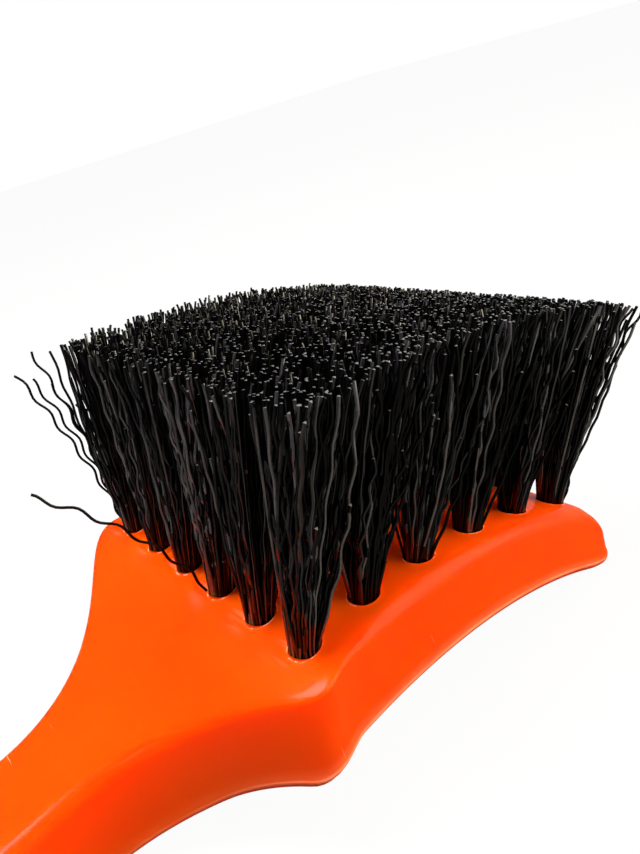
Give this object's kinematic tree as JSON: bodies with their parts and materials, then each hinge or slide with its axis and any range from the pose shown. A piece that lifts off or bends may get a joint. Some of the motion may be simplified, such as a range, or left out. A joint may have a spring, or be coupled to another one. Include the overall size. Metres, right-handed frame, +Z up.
{
  "type": "tire brush",
  "caption": "Hand brush with a one-piece moulded handle and a crowned, arched head, set with tufts of stiff crimped bristles held by wire anchors, with a hang hole in the grip.",
  "frame": {"origin": "middle of the flat under the grip's palm, on the plane that the grip and the toe lip rest on", "axes": "+X to the right seen from the butt, +Y along the brush from the grip to the toe, +Z up, out of the resting plane towards the bristle tips"},
  "size_m": [0.067, 0.2327, 0.0581],
  "materials": {
    "orange_plastic": "moulded polypropylene, semi-gloss",
    "black_bristle": "crimped polypropylene filament, glossy",
    "anchor_wire": "bright flat wire"
  },
  "bodies": {
    "root": {"handle": "orange_plastic", "bristles_heel_left": "black_bristle", "bristles_heel_right": "black_bristle", "bristles_toe_left": "black_bristle", "bristles_toe_right": "black_bristle", "anchor_r1_c1": "anchor_wire", "anchor_r1_c2": "anchor_wire", "anchor_r1_c3": "anchor_wire", "anchor_r1_c4": "anchor_wire", "anchor_r1_c5": "anchor_wire", "anchor_r1_c6": "anchor_wire", "anchor_r2_c1": "anchor_wire", "anchor_r2_c2": "anchor_wire", "anchor_r2_c3": "anchor_wire", "anchor_r2_c4": "anchor_wire", "anchor_r2_c5": "anchor_wire", "anchor_r2_c6": "anchor_wire", "anchor_r3_c1": "anchor_wire", "anchor_r3_c2": "anchor_wire", "anchor_r3_c3": "anchor_wire", "anchor_r3_c4": "anchor_wire", "anchor_r3_c5": "anchor_wire", "anchor_r3_c6": "anchor_wire", "anchor_r4_c1": "anchor_wire", "anchor_r4_c2": "anchor_wire", "anchor_r4_c3": "anchor_wire", "anchor_r4_c4": "anchor_wire", "anchor_r4_c5": "anchor_wire", "anchor_r4_c6": "anchor_wire", "anchor_r5_c1": "anchor_wire", "anchor_r5_c2": "anchor_wire", "anchor_r5_c3": "anchor_wire", "anchor_r5_c4": "anchor_wire", "anchor_r5_c5": "anchor_wire", "anchor_r5_c6": "anchor_wire", "anchor_r6_c1": "anchor_wire", "anchor_r6_c2": "anchor_wire", "anchor_r6_c3": "anchor_wire", "anchor_r6_c4": "anchor_wire", "anchor_r6_c5": "anchor_wire", "anchor_r6_c6": "anchor_wire"}
  },
  "joints": []
}
